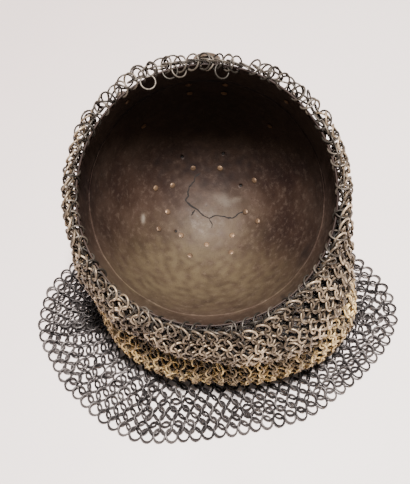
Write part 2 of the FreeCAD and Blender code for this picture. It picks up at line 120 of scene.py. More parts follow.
class Shader:
    def __init__(self, name):
        self.material = bpy.data.materials.new(name)
        self.material.use_nodes = True
        self.tree = self.material.node_tree
        self.main = self.tree.nodes["Principled BSDF"]

    def node(self, kind, **inputs):
        made = self.tree.nodes.new(kind)
        for key, value in inputs.items():
            self.feed(made, key, value)
        return made

    def put(self, socket, value):  # a link from another node, or a fixed number or colour
        if isinstance(value, bpy.types.NodeSocket):
            self.tree.links.new(value, socket)
        else:
            socket.default_value = (*value, 1) if isinstance(value, tuple) else value

    def feed(self, node, key, value):  # key is an input's name, or i and its number
        numbered = key[0] == "i" and key[1:].isdigit()
        self.put(node.inputs[int(key[1:]) if numbered else key.replace("_", " ")], value)

    def coords(self):
        return self.tree.nodes.new("ShaderNodeTexCoord").outputs["Object"]

    def noise(self, scale, detail=4, rough=0.55):
        made = self.node("ShaderNodeTexNoise", Scale=scale, Detail=detail, Roughness=rough)
        self.put(made.inputs["Vector"], self.coords())
        return made.outputs["Fac"]

    def attribute(self, name):
        made = self.tree.nodes.new("ShaderNodeAttribute")
        made.attribute_name = name
        return made.outputs["Fac"]

    def ramp(self, factor, stops):
        made = self.node("ShaderNodeValToRGB", Fac=factor)
        spots = made.color_ramp.elements
        while len(spots) < len(stops):
            spots.new(0.5)
        for spot, (place, colour) in zip(spots, stops):
            spot.position = place
            spot.color = (*colour, 1)
        return made.outputs["Color"]

    def span(self, factor, low, high, fromLow=0.0, fromHigh=1.0):
        made = self.node("ShaderNodeMapRange", i0=factor, i1=fromLow, i2=fromHigh, i3=low, i4=high)
        return made.outputs["Result"]

    def mix(self, factor, first, second):
        made = self.tree.nodes.new("ShaderNodeMix")
        made.data_type = "RGBA"
        for place, value in ((0, factor), (6, first), (7, second)):
            self.put(made.inputs[place], value)
        return made.outputs[2]

    def sums(self, operation, first, second):
        made = self.tree.nodes.new("ShaderNodeMath")
        made.operation = operation
        for place, value in enumerate((first, second)):
            self.put(made.inputs[place], value)
        return made.outputs[0]

    def bump(self, height, strength, distance, under=None):
        made = self.node("ShaderNodeBump", Height=height, Strength=strength, Distance=distance)
        if under is not None:
            self.put(made.inputs["Normal"], under)
        return made.outputs["Normal"]

    def finish(self, **inputs):
        for key, value in inputs.items():
            self.feed(self.main, key, value)
        return self.material


def bowlSteel():
    s = Shader("patinated bowl steel")
    patches = s.noise(22, 5, 0.6)
    fine = s.noise(190, 6, 0.7)
    specks = s.noise(900, 2, 0.6)
    brown = s.ramp(patches, (
        (0.30, (0.014, 0.006, 0.005)), (0.48, (0.030, 0.016, 0.011)), (0.68, (0.052, 0.031, 0.022)),
    ))
    worn = s.mix(s.span(fine, 0, 0.7, 0.52, 0.74), brown, (0.100, 0.068, 0.050))
    olive = s.mix(s.attribute("olive"), worn, (0.086, 0.062, 0.035))
    # painted highlight: lightens the crown where the lamp's reflection lies, and a bright scratch and dent
    highlightAndScratch = s.mix(s.attribute("highlightAndScratch"), olive, (0.24, 0.20, 0.16))
    pits = s.mix(s.span(specks, 0, 0.75, 0.60, 0.72), highlightAndScratch, (0.03, 0.016, 0.012))
    # painted shade mixed with real stains: this darkens the inside at its stains and where it lies in shade
    stainedAndShaded = s.mix(s.attribute("stainAndShade"), pits, (0.012, 0.007, 0.006))
    rough = s.span(fine, 0.48, 0.74, 0.3, 0.75)
    bumps = s.bump(s.noise(75, 3, 0.5), 0.3, 0.0015)
    grain = s.bump(fine, 0.25, 0.0004, bumps)
    return s.finish(
        Base_Color=stainedAndShaded, Metallic=0.16, Specular_IOR_Level=0.26, Roughness=rough, Normal=grain
    )


def mailWire(label, dark, middle, light, metallic, roughness):
    s = Shader(label)
    tint = s.attribute("tint")
    grime = s.noise(420, 4, 0.6)
    ring = s.ramp(tint, ((0.0, dark), (0.55, middle), (1.0, light)))
    dirty = s.mix(s.span(grime, 0, 0.8, 0.52, 0.72), ring, tuple(c * 0.35 for c in dark))
    rough = s.span(grime, roughness - 0.1, roughness + 0.15, 0.3, 0.7)
    grain = s.bump(s.noise(1500, 3, 0.5), 0.2, 0.0002)
    return s.finish(Base_Color=dirty, Metallic=metallic, Roughness=rough, Normal=grain)


def fittingSteel(name, dark, light, metallic=0.75, roughness=0.42):
    s = Shader(name)
    patches = s.noise(45, 5, 0.6)
    fine = s.noise(420, 5, 0.65)
    steel = s.ramp(patches, ((0.32, dark), (0.66, light)))
    rust = s.mix(s.span(fine, 0, 0.7, 0.55, 0.75), steel, (0.075, 0.036, 0.020))
    rough = s.span(fine, roughness - 0.08, roughness + 0.2, 0.3, 0.7)
    grain = s.bump(s.noise(160, 3, 0.5), 0.25, 0.0006)
    return s.finish(Base_Color=rust, Metallic=metallic, Roughness=rough, Normal=grain)


def voidBlack():
    s = Shader("crack shadow")
    # painted shadow: near-black colour for the dark inside the cracks
    crackShade = s.ramp(s.noise(300, 3), ((0.3, (0.003, 0.002, 0.002)), (0.7, (0.012, 0.008, 0.006))))
    return s.finish(Base_Color=crackShade, Roughness=0.95)


# Each wire's colours, from its grimy side to its rubbed side
wires = {
    "steelMail": {
        "label": "grey brown mail wire", "metallic": 0.48, "roughness": 0.42,
        "dark": (0.052, 0.036, 0.024), "middle": (0.200, 0.146, 0.098), "light": (0.50, 0.372, 0.242),
    },
    "rimMail": {
        "label": "browned rim wire", "metallic": 0.62, "roughness": 0.46,
        "dark": (0.022, 0.018, 0.014), "middle": (0.064, 0.053, 0.043), "light": (0.16, 0.130, 0.102),
    },
    "darkMail": {
        "label": "dark mail wire", "metallic": 0.65, "roughness": 0.45,
        "dark": (0.022, 0.019, 0.019), "middle": (0.058, 0.050, 0.049), "light": (0.13, 0.115, 0.11),
    },
    # painted shade: near-black wire for the mail layer behind the folds, which shows as the shadow in the crevice
    # between them
    "shadedLiningMail": {
        "label": "shadowed mail wire", "metallic": 0.5, "roughness": 0.6,
        "dark": (0.008, 0.007, 0.006), "middle": (0.020, 0.016, 0.013), "light": (0.045, 0.036, 0.028),
    },
    "brassMail": {
        "label": "aged brass mail wire", "metallic": 0.38, "roughness": 0.40,
        "dark": (0.120, 0.086, 0.052), "middle": (0.47, 0.340, 0.190), "light": (0.98, 0.70, 0.30),
    },
}
materials = {"bowl": bowlSteel()}
for wireName, wire in wires.items():
    materials[wireName] = mailWire(**wire)
materials["fitting"] = fittingSteel("browned fitting steel", (0.070, 0.048, 0.036), (0.200, 0.150, 0.110))
materials["rivet"] = fittingSteel("peened rivet steel", (0.075, 0.045, 0.028), (0.21, 0.130, 0.075), 0.6, 0.5)
materials["void"] = voidBlack()
addCamera()
print("camera and materials made")


# The bowl: an egg-shaped skull whose side and crown arcs are the CAD bowl's
skull = {
    "rim": 100.0, "depth": 140.0, "side": 193.3, "wall": 1.6, "columns": 330,
    "holes": 66, "holeDrop": 3.2, "holeRadius": 2.05, "rivetHoleRadius": 1.65,
    "spareHole": {"azimuth": 220.6, "radius": 38.0, "width": 1.4}, "holePull": 1.9,
}
skull["sideCentre"] = skull["side"] - skull["rim"]
skull["crown"] = (
    2 * skull["sideCentre"] * skull["rim"] + skull["rim"] ** 2 - skull["depth"] ** 2
) / (2 * (skull["rim"] - skull["depth"] + skull["sideCentre"]))
skull["sink"] = skull["depth"] - skull["crown"]
skull["join"] = math.atan2(skull["sink"], skull["sideCentre"])
skull["sideRun"] = skull["side"] * skull["join"]
skull["run"] = skull["sideRun"] + skull["crown"] * (math.pi / 2 - skull["join"])
hammering = {"cell": 9.0, "depth": 0.26, "flat": 0.55, "waves": ((34.0, 0.8), (13.0, 0.35)), "calmRun": 8.0}
groove = {"run": 36.0, "grain": 25.0, "wander": 0.5, "depth": 0.9, "width": 0.8, "lipHeight": 0.35, "lipGap": 2.0,
          "lipWidth": 0.9}


def profile(run, skin=0.0):  # distance out, height and slope, at a run from the rim
    if run < skull["sideRun"]:
        slope = run / skull["side"]
        radius = skull["side"] + skin
        return radius * math.cos(slope) - skull["sideCentre"], -radius * math.sin(slope), slope
    slope = skull["join"] + (run - skull["sideRun"]) / skull["crown"]
    radius = skull["crown"] + skin
    return radius * math.cos(slope), -skull["sink"] - radius * math.sin(slope), slope


def bowlSpot(azimuth, run, skin=0.0):  # a spot on the bowl and the way out through its wall
    out, height, slope = profile(run, skin)
    square = ray(azimuth) * math.cos(slope) - Vector((0, 0, math.sin(slope)))
    return ray(azimuth) * out + Vector((0, 0, height)), square


def runAtRadius(radius):
    low, high = 0.0, skull["run"]
    for _ in range(40):
        middle = (low + high) / 2
        low, high = (middle, high) if profile(middle)[0] > radius else (low, middle)
    return low


rivetRings = {
    "inner": {"count": 9, "phase": 30.0, "radius": 37.5, "lost": (0,)},
    "outer": {"count": 8, "phase": 27.0, "radius": 50.4, "lost": (1, 2)},
}


def ringSpots(ring):
    run = runAtRadius(ring["radius"])
    return [(ring["phase"] + 360 * k / ring["count"], run) for k in range(ring["count"])]


def bowlHoles():  # azimuth, run and radius of each hole, the rim's first
    count = skull["holes"]
    holes = [(360 * k / count, skull["holeDrop"], skull["holeRadius"]) for k in range(count)]
    for ring in rivetRings.values():
        spots = ringSpots(ring)
        holes += [(*spots[k], skull["rivetHoleRadius"]) for k in ring["lost"]]
    spare = skull["spareHole"]
    holes.append((spare["azimuth"], runAtRadius(spare["radius"]), spare["width"]))
    return holes


def bowlRuns():  # rows lie closer at the rim, at the groove and at the rivets
    stretches = (
        (0, 12, 1.15), (12, 33, 2.4), (33.5, 40, 0.55), (41, 118, 2.4), (119, skull["run"] - 1, 1.45),
    )
    return [run for low, high, step in stretches for run in np.arange(low, high, step)]


def dentOf(place, run):  # depth of the hammering, positive out of the bowl
    near = noise.voronoi(place / hammering["cell"])[0]
    hammer = hammering["depth"] * (hammering["flat"] - min(1.0, near[0]))
    wave = sum(height * noise.noise(place / size) for size, height in hammering["waves"])
    gap = abs(run - groove["run"] - groove["wander"] * noise.noise(place / groove["grain"]))
    line = groove["depth"] * math.exp(-(gap / groove["width"]) ** 2)
    lip = groove["lipHeight"] * math.exp(-((gap - groove["lipGap"]) / groove["lipWidth"]) ** 2)
    return (hammer + wave) * min(1.0, run / hammering["calmRun"]) + line - lip


def bowlShell():
    runs = bowlRuns()
    columns = skull["columns"]
    inner, outer = [], []
    for run in runs:
        for column in range(columns):
            place, square = bowlSpot(360 * column / columns, run)
            dent = dentOf(place, run)
            inner.append(place + square * dent)
            outer.append(place + square * (skull["wall"] + min(0.05, 0.5 * dent)))
    inner = np.array([tuple(p) for p in inner]).reshape(len(runs), columns, 3)
    outer = np.array([tuple(p) for p in outer]).reshape(len(runs), columns, 3)
    centres = (inner[:-1] + inner[1:]) / 2
    centres = (centres + np.roll(centres, -1, axis=1)) / 2
    kept = np.ones(centres.shape[:2], bool)
    rings = []
    for azimuth, run, radius in bowlHoles():
        middle = np.array(bowlSpot(azimuth, run)[0])
        kept &= np.linalg.norm(centres - middle, axis=2) > radius
        rings.append((middle, radius))
    edge = np.zeros(inner.shape[:2], bool)
    for down in (0, 1):
        for along in (0, 1):
            edge[down:len(runs) - 1 + down] |= np.roll(~kept, along, axis=1)
    for middle, radius in rings:  # the edge of each hole is pulled round
        away = inner - middle
        distance = np.linalg.norm(away, axis=2)
        near = edge & (distance < radius * skull["holePull"])
        shift = away[near] * (radius / np.maximum(distance[near], 0.01))[:, None] - away[near]
        inner[near] += shift
        outer[near] += shift
    faces = []
    count = inner.shape[0] * columns
    tip = 2 * count

    def at(row, column, layer):
        return layer * count + row * columns + column % columns

    for row in range(len(runs) - 1):
        for column in range(columns):
            loop = [(row, column), (row, column + 1), (row + 1, column + 1), (row + 1, column)]
            if kept[row, column]:
                faces.append([at(r, c, 0) for r, c in loop])
                faces.append([at(r, c, 1) for r, c in reversed(loop)])
                continue
            beside = [(row - 1, column), (row, column + 1), (row + 1, column), (row, column - 1)]
            for k, (r, c) in enumerate(beside):
                if 0 <= r < len(runs) - 1 and kept[r, c % columns]:
                    first, last = loop[k], loop[(k + 1) % 4]
                    faces.append([at(*first, 0), at(*last, 0), at(*last, 1), at(*first, 1)])
    last = len(runs) - 1
    crest = 2 * count + 2
    for column in range(columns):
        faces.append([at(last, column, 0), at(last, column + 1, 0), tip])
        faces.append([at(last, column + 1, 1), at(last, column, 1), tip + 1])
        nextCrest = crest + (column + 1) % columns
        faces.append([at(0, column + 1, 0), at(0, column, 0), crest + column, nextCrest])
        faces.append([at(0, column, 1), at(0, column + 1, 1), nextCrest, crest + column])
    points = [tuple(p) for p in inner.reshape(-1, 3)] + [tuple(p) for p in outer.reshape(-1, 3)]
    points += [(0, 0, -skull["depth"] + 0.2), (0, 0, -skull["depth"] - skull["wall"])]
    lip = (inner[0] + outer[0]) / 2 + np.array((0, 0, 0.45))
    points += [tuple(p) for p in lip]
    return [laid(p) for p in points], faces, count


def marks(pixel, ovals):  # sum of soft oval marks at a pixel of the photograph
    total = 0.0
    for x, y, wide, high, turn, weight in ovals:
        angle = math.radians(turn)
        across = (pixel[0] - x) * math.cos(angle) + (pixel[1] - y) * math.sin(angle)
        along = (pixel[1] - y) * math.cos(angle) - (pixel[0] - x) * math.sin(angle)
        total += weight * math.exp(-((across / wide) ** 2 + (along / high) ** 2) ** 1.5)
    return min(1.0, total)


# Each mark's pixel, half width, half height, turn and weight
bowlMarks = {
    # the small ovals at (305, 255) and (283, 297) are real dark stains; the broad ovals are painted shade over the
    # top third of the inside, the band under it and its left and right walls; the others darken the crown's middle
    "stainAndShade": [
        (305, 255, 5, 14, 30, 0.9), (283, 297, 3, 3, 0, 0.8), (207, 92, 125, 52, 0, 0.85),
        (205, 164, 70, 22, 0, 0.6), (92, 190, 20, 60, 0, 0.45), (322, 190, 20, 60, 0, 0.45),
        (160, 168, 40, 14, 0, 0.3), (262, 165, 40, 18, 0, 0.35), (285, 215, 22, 30, 0, 0.1),
        (214, 192, 48, 24, 0, 0.34),
    ],
    "olive": [(200, 278, 95, 34, 0, 0.9), (160, 250, 45, 40, 0, 0.35), (225, 225, 40, 30, 0, 0.4)],
    # painted highlight: the oval at (222, 200) paints the lamp's reflection on the crown; the smaller ovals lighten
    # a bright scratch beside it and a dent at (143, 218.7)
    "highlightAndScratch": [(222, 200, 9, 6, 20, 0.35), (143, 218.7, 2.0, 4.5, 0, 0.8), (236, 200, 5, 3, 0, 0.3)],
}
outsideStain = 0.75
points, faces, innerCount = bowlShell()
bowlMesh = newMesh("bowl_skull", points, faces)
for name, ovals in bowlMarks.items():
    layer = bowlMesh.attributes.new(name, "FLOAT", "POINT")
    values = np.zeros(len(points), np.float32)
    for k in range(innerCount):
        wobble = 0.75 + 0.6 * noise.noise(points[k] / 7.0)
        values[k] = min(1.0, marks(pixelOf(points[k]), ovals) * wobble)
    if name == "stainAndShade":
        values[innerCount:] = outsideStain
    layer.data.foreach_set("value", values)
newPiece("bowl_skull", bowlMesh, materials["bowl"], replaces=("bowl",))
bowlTree = BVHTree.FromPolygons(points, faces)
print("bowl made", len(faces))


def onBowl(pixel):  # where the camera sees the bowl's inside
    return bowlTree.ray_cast(camSpot, sight(pixel))[:2]


# Cracks in the crown, as thin dark ribbons on the bowl's inside, coloured near black as painted shadow in the
# cracks' gaps
crack = {
    "main": [
        (201, 173), (195.5, 176.5), (194.5, 181), (189, 187), (188, 192), (188.5, 196), (185.5, 200.5),
        (190, 205), (195.5, 208.5), (203, 215), (209, 218.5), (215, 215.3), (222, 216), (229, 218),
        (233.5, 218), (240, 212.5), (248, 210.5),
    ],
    "left": [(195.5, 209.5), (193, 213), (191, 216)],
    "low": [(209, 218.5), (212, 224), (211.5, 228)],
    "width": 0.75, "shake": 0.35, "lift": 0.05, "crestLift": 0.09,
}


def ribbon(pixels, width):
    fine = []
    for first, last in zip(pixels, pixels[1:]):
        for share in (0, 0.33, 0.66):
            fine.append(tuple(
                a + (b - a) * share + dice.uniform(-crack["shake"], crack["shake"]) for a, b in zip(first, last)
            ))
    fine.append(pixels[-1])
    spots = [onBowl(pixel) for pixel in fine]
    points, faces = [], []
    for k, (spot, square) in enumerate(spots):
        before, after = spots[max(0, k - 1)][0], spots[min(len(spots) - 1, k + 1)][0]
        side = (after - before).cross(square).normalized()
        taper = min(1.0, 0.25 + min(k, len(spots) - 1 - k) * 0.3)
        half = width * taper * dice.uniform(0.6, 1.3)
        lift = square if square.dot(camSpot - spot) > 0 else -square
        edgeLift = lift * crack["lift"]
        points += [spot - side * half + edgeLift, spot + lift * crack["crestLift"], spot + side * half + edgeLift]
        if k:
            base = 3 * k
            faces += [[base - 3, base - 2, base + 1, base], [base - 2, base - 1, base + 2, base + 1]]
    return points, faces


def joined(parts):
    points, faces = [], []
    for morePoints, moreFaces in parts:
        faces += [[k + len(points) for k in face] for face in moreFaces]
        points += morePoints
    return points, faces


def stub(azimuth, run, radius):  # what is left of a sheared rivet, inside its hole
    middle, square = bowlSpot(azimuth, run, skull["wall"] * 0.6)
    across, along = ray(azimuth + 90), square.cross(ray(azimuth + 90))
    turns = [2 * math.pi * k / 12 for k in range(12)]
    points = [laid(middle + (across * math.cos(turn) + along * math.sin(turn)) * radius * 1.1) for turn in turns]
    return points, [list(range(12))]


dark = [ribbon(crack[name], crack["width"]) for name in ("main", "left", "low")]
# a near-black disc closes each lost rivet's hole, for a sheared rivet's stub; its colour is the cracks' painted
# shadow
dark += [stub(*hole) for hole in bowlHoles()[skull["holes"]:]]
points, faces = joined(dark)
newPiece("crown_cracks", newMesh("crown_cracks", points, faces, False), materials["void"])


# One wire ring, round in section with a flattened riveted lap, open where it has a gap
lapSpan = 0.55
lapThinning = 0.2


def ringMesh(name, radius, wire, turns=16, sides=6, gap=0.0, lap=0.35):
    points, faces = [], []
    steps = turns if gap == 0 else turns + 1
    for turn in range(steps):
        angle = gap / 2 + (2 * math.pi - gap) * turn / turns
        bulge = max(0.0, 1 - abs(angle - math.pi) / lapSpan) if lap else 0.0
        for side in range(sides):
            around = 2 * math.pi * side / sides
            reach = radius + wire * (1 + lap * bulge) * math.cos(around)
            rise = wire * (1 - lapThinning * bulge) * math.sin(around)
            points.append((reach * math.cos(angle), reach * math.sin(angle), rise))
    for turn in range(turns):
        for side in range(sides):
            a, b = turn * sides + side, turn * sides + (side + 1) % sides
            c, d = ((turn + 1) % steps) * sides + (side + 1) % sides, ((turn + 1) % steps) * sides + side
            faces.append([a, d, c, b])
    if gap:
        faces.append(list(range(sides)))
        faces.append([turns * sides + side for side in reversed(range(sides))])
    return newMesh(name, points, faces)


def ringShape(name, radius, wire, turns=16, **more):  # in no collection, so that only its copies show
    return bpy.data.objects.new(name, ringMesh(name, radius, wire, turns, **more))


# Scatters one ring on points that carry its turn and size
def scatterTree():
    tree = bpy.data.node_groups.new("ring scatter", "GeometryNodeTree")
    for name, kind in (("Geometry", "NodeSocketGeometry"), ("Ring", "NodeSocketObject"),
                       ("Finish", "NodeSocketMaterial"), ("Seed", "NodeSocketInt")):
        tree.interface.new_socket(name, in_out="INPUT", socket_type=kind)
    tree.interface.new_socket("Geometry", in_out="OUTPUT", socket_type="NodeSocketGeometry")
    nodes, links = tree.nodes, tree.links
    given, result = nodes.new("NodeGroupInput"), nodes.new("NodeGroupOutput")
    info = nodes.new("GeometryNodeObjectInfo")
    turn = nodes.new("GeometryNodeInputNamedAttribute")
    turn.data_type = "QUATERNION"
    turn.inputs["Name"].default_value = "turn"
    size = nodes.new("GeometryNodeInputNamedAttribute")
    size.data_type = "FLOAT"
    size.inputs["Name"].default_value = "size"
    place = nodes.new("GeometryNodeInstanceOnPoints")
    chance = nodes.new("FunctionNodeRandomValue")
    store = nodes.new("GeometryNodeStoreNamedAttribute")
    store.data_type, store.domain = "FLOAT", "INSTANCE"
    store.inputs["Name"].default_value = "tint"
    real, paint = nodes.new("GeometryNodeRealizeInstances"), nodes.new("GeometryNodeSetMaterial")
    links.new(given.outputs["Ring"], info.inputs["Object"])
    links.new(given.outputs["Geometry"], place.inputs["Points"])
    links.new(info.outputs["Geometry"], place.inputs["Instance"])
    links.new(turn.outputs[0], place.inputs["Rotation"])
    links.new(size.outputs[0], place.inputs["Scale"])
    links.new(given.outputs["Seed"], chance.inputs["Seed"])
    links.new(place.outputs[0], store.inputs["Geometry"])
    links.new(chance.outputs[1], store.inputs["Value"])
    links.new(store.outputs[0], real.inputs[0])
    links.new(real.outputs[0], paint.inputs["Geometry"])
    links.new(given.outputs["Finish"], paint.inputs["Material"])
    links.new(paint.outputs[0], result.inputs[0])
    return tree


scatter = scatterTree()


def scatterRings(name, rings, shape, material, seed, replaces=()):
    mesh = bpy.data.meshes.new(name)
    mesh.from_pydata([tuple(spot * millimetre) for spot, turn, size in rings], [], [])
    turns = mesh.attributes.new("turn", "QUATERNION", "POINT")
    turns.data.foreach_set("value", [c for spot, turn, size in rings for c in turn])
    sizes = mesh.attributes.new("size", "FLOAT", "POINT")
    sizes.data.foreach_set("value", [size for spot, turn, size in rings])
    piece = bpy.data.objects.new(name, mesh)
    bpy.context.scene.collection.objects.link(piece)
    modifier = piece.modifiers.new("rings", "NODES")
    modifier.node_group = scatter
    given = {item.name: item.identifier for item in scatter.interface.items_tree if item.in_out == "INPUT"}
    modifier[given["Ring"]] = shape
    modifier[given["Finish"]] = materials[material]
    modifier[given["Seed"]] = seed
    bpy.context.view_layer.update()
    depsgraph = bpy.context.evaluated_depsgraph_get()
    made = bpy.data.meshes.new_from_object(
        piece.evaluated_get(depsgraph), preserve_all_data_layers=True, depsgraph=depsgraph
    )
    piece.modifiers.clear()
    piece.data = made
    made.shade_smooth()
    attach(piece, "helmet")
    if replaces:
        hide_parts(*replaces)


def turned(across, along):  # rotation that puts a ring's plane on two directions
    first = Vector(across).normalized()
    square = first.cross(Vector(along)).normalized()
    return Matrix((first, square.cross(first), square)).transposed().to_quaternion()


def spun(turn, spread=0.0):  # turned about the ring's own axis at random, and shaken a little
    spin = Quaternion((0, 0, 1), dice.uniform(0, 2 * math.pi))
    shake = Quaternion((dice.gauss(0, 1), dice.gauss(0, 1), dice.gauss(0, 1) + 0.001), dice.gauss(0, 1) * spread)
    return turn @ shake @ spin


# The two rows of links at the rim, where the CAD links are
links = {
    "wire": 0.78, "first": 6.3, "second": 6.5, "turns": 18, "lean": (34, 52), "chord": 5.2, "out": (0.75, 1.0),
    "along": 6.78, "stand": 4.2, "rise": 1.26, "turn": -13.9, "slope": -8.5, "shake": 0.35,
}
bar = {"azimuth": 90, "span": 14, "out": 0.45, "inset": 1.2}  # links beside the nasal bar lie close to the bowl
face = {"low": 20, "high": 160, "shake": 0.6}  # round the face a third row is left
hooks = {
    "radius": 5.9, "wire": 0.75, "gap": 1.1, "height": 196,
    "pixels": ((148, 82), (170, 71), (179, 70), (207, 63), (222, 71)),
}


def rimPlaces():  # azimuth of each rim hole, the way out, the way along and the hole's middle
    for k in range(skull["holes"]):
        azimuth = 360 * k / skull["holes"]
        out = ray(azimuth)
        hole = out * (skull["rim"] + skull["wall"] / 2) - Vector((0, 0, skull["holeDrop"]))
        yield azimuth, out, ray(azimuth - 90), hole


def atBar(azimuth):
    return abs(azimuth - bar["azimuth"]) < bar["span"]


def rimLinks():
    rings = []
    for azimuth, out, along, hole in rimPlaces():
        fall = math.radians(dice.uniform(*links["lean"])) * (1 if dice.random() < 0.8 else -1)
        chord = Vector((0, 0, 1)) * math.cos(fall) + along * math.sin(fall)
        across = (out + along * dice.uniform(-0.25, 0.25)).normalized()
        half = links["chord"] / math.cos(fall) / 2
        reach = math.sqrt(max(0.5, links["first"] ** 2 - half ** 2))
        reach *= bar["out"] if atBar(azimuth) else dice.uniform(*links["out"])
        centre = hole + chord * half + across * reach
        rings.append((laid(centre), spun(turned(layDown @ across, layDown @ chord)), 1.0))
    return rings


def secondLinks():
    rings = []
    turn, slope = math.radians(links["turn"]), math.radians(links["slope"])
    for azimuth, out, along, hole in rimPlaces():
        across = along * math.cos(turn) + out * math.sin(turn)
        square = out * math.cos(turn) - along * math.sin(turn)
        rise = square * math.sin(slope) + Vector((0, 0, 1)) * math.cos(slope)
        centre = hole + along * links["along"] + out * links["stand"] + Vector((0, 0, links["rise"]))
        flat = turned(layDown @ across, layDown @ rise)
        if atBar(azimuth):
            rings.append((laid(centre - out * bar["inset"]), spun(flat), 1.0))
            continue
        rings.append((laid(centre), spun(flat, links["shake"]), 1.0))
        if face["low"] < azimuth < face["high"]:
            low = centre + along * dice.uniform(1, 6) + out * dice.uniform(1, 5) - Vector((0, 0, dice.uniform(4, 9)))
            loose = turned(layDown @ along, layDown @ (rise + out))
            rings.append((laid(low), spun(loose, face["shake"]), 1.0))
    return rings


def looseHooks():  # open links that hang inside the rim, where the photograph shows them
    rings = []
    for pixel in hooks["pixels"]:
        spot = spotAtHeight(pixel, hooks["height"])
        out = Vector((spot.x - rimCentre.x, spot.y - rimCentre.y, 0)).normalized()
        across = (layDown @ (out + ray(dice.uniform(0, 360)) * 0.25)).normalized()
        along = layDown @ Vector((-out.y, out.x, dice.uniform(-0.6, 0.6)))
        rings.append((spot, turned(along, across) @ Quaternion((0, 0, 1), dice.uniform(0.8, 2.2)), 1.0))
    return rings


firstShape = ringShape("first_ring", links["first"], links["wire"], links["turns"])
secondShape = ringShape("second_ring", links["second"], links["wire"], links["turns"])
hookShape = ringShape("open_ring", hooks["radius"], hooks["wire"], gap=hooks["gap"], lap=0.0)
scatterRings("rim_rings", rimLinks(), firstShape, "rimMail", 3, ("rim_links",))
scatterRings("second_rings", secondLinks(), secondShape, "rimMail", 4, ("second_links",))
scatterRings("loose_hooks", looseHooks(), hookShape, "rimMail", 13)
print("links made")


# The mail's drape: at each azimuth a line runs from the rim over two rolls to the table and out to the edge
mail = {
    "ring": 5.6, "wire": 0.84, "fanWire": 0.93, "pitch": 10.6, "turn": 28, "halfSpan": 125, "fanSpan": 98,
    "upperRows": 11, "bandRows": 13, "fanRows": 11, "fanStep": 6.5, "fanInset": 5.5, "rest": 3.5, "lining": 4.5,
    "upperShake": 0.05, "bandShake": 0.06, "liningShake": 0.08, "fanShake": 0.05, "samples": 160,
    "fanTuck": 12,
}
# Reach of the mail's top from the rim at azimuths, then lines that the photograph shows, in its pixels
topRail = [
    (145, 2.0), (180, 1.0), (203, 0.5), (215, -1.2), (225, -2.6), (234, -3.7), (251, 0.0), (263, 2.3),
    (279, 3.0), (286, 5.5), (294, 4.0), (301, 1.0), (313, 1.0), (323, 0.5), (332, 1.0), (360, 1.5), (395, 2.0),
]
creviceSeen = [(102, 309), (133, 333), (173, 349), (222, 361), (262, 363), (296, 355), (324, 336)]
bandSeen = [
    (105, 324), (119, 349), (139, 367), (170, 381), (216, 387), (262, 386), (293, 377), (327, 361),
    (343, 340), (349, 309), (343, 284),
]
fanSeen = [
    (74, 265), (48, 292), (38.6, 333), (51, 361), (62, 383), (82, 404), (108, 427), (136, 441), (179, 441),
    (216, 437), (262, 429), (309, 417), (339, 395), (370, 367), (389, 343), (397, 321), (392, 296), (375, 275),
    (355, 258), (346, 247),
]


def rimEdge(azimuth):
    return laid(ray(azimuth) * (skull["rim"] + skull["wall"]))


def railOf(seen, height):  # reaches out from the rim's edge at azimuths, of a line seen in the photograph
    rail = []
    for pixel in seen:
        azimuth = 270.0
        for _ in range(4):
            spot = spotAtHeight(pixel, height(azimuth))
            away = spot - rimCentre
            guess = math.degrees(math.atan2(away.y, away.x)) % 360
            guess += 360 if guess < 90 else 0
            low, high = guess - 25, guess + 25
            for _ in range(40):
                azimuth = (low + high) / 2
                offset = spot - rimEdge(azimuth)
                side = ray(azimuth).x * offset.y - ray(azimuth).y * offset.x
                low, high = (azimuth, high) if side > 0 else (low, azimuth)
        offset = spot - rimEdge(azimuth)
        rail.append((azimuth, offset.x * ray(azimuth).x + offset.y * ray(azimuth).y))
    return sorted(rail)


sideReach = 6.0
sideStops = {"before": ((145, 5), (165, 3), (190, 0)), "seen": (205, 356), "after": ((366, 3), (395, 5))}


def hugged(rail):  # beside the bowl the mail hangs close to it
    low, high = sideStops["seen"]
    before = [(azimuth, sideReach + more) for azimuth, more in sideStops["before"]]
    after = [(azimuth, sideReach + more) for azimuth, more in sideStops["after"]]
    return before + [stop for stop in rail if low < stop[0] < high] + after


def onRail(rail, azimuth):
    return float(np.interp(azimuth, [a for a, reach in rail], [reach for a, reach in rail]))


# Heights at which the lines are seen, and the crevice's reach where the photograph doesn't show it
seenAt = {"creviceDrop": 54, "band": 12.0, "fan": 2.5}
creviceUnseen = [(340, 26), (355, 15)]
creviceRail = hugged(railOf(creviceSeen, lambda a: rimEdge(a).z - seenAt["creviceDrop"]) + creviceUnseen)
bandRail = hugged(railOf(bandSeen, lambda a: seenAt["band"]))
fanRail = railOf(fanSeen, lambda a: seenAt["fan"])


def smoothLine(corners, steps=8):  # round line through corners
    line = []
    count = len(corners)
    for k in range(count - 1):
        before, first = corners[max(0, k - 1)], corners[k]
        last, after = corners[k + 1], corners[min(count - 1, k + 2)]
        for step in range(steps):
            t = step / steps
            spot = []
            for a, b, c, d in zip(before, first, last, after):
                square, cube = 2 * a - 5 * b + 4 * c - d, 3 * b - a - 3 * c + d
                spot.append(0.5 * (2 * b + (c - a) * t + square * t * t + cube * t ** 3))
            line.append(tuple(spot))
    line.append(corners[-1])
    return line


drape = {
    "top": 4.5, "over": 3.5, "overWithin": 8, "wire": 3, "wave": 1.6, "waves": 14.4, "tuck": 11, "bulge": 8,
    "heel": 7, "foot": 4.5,
}


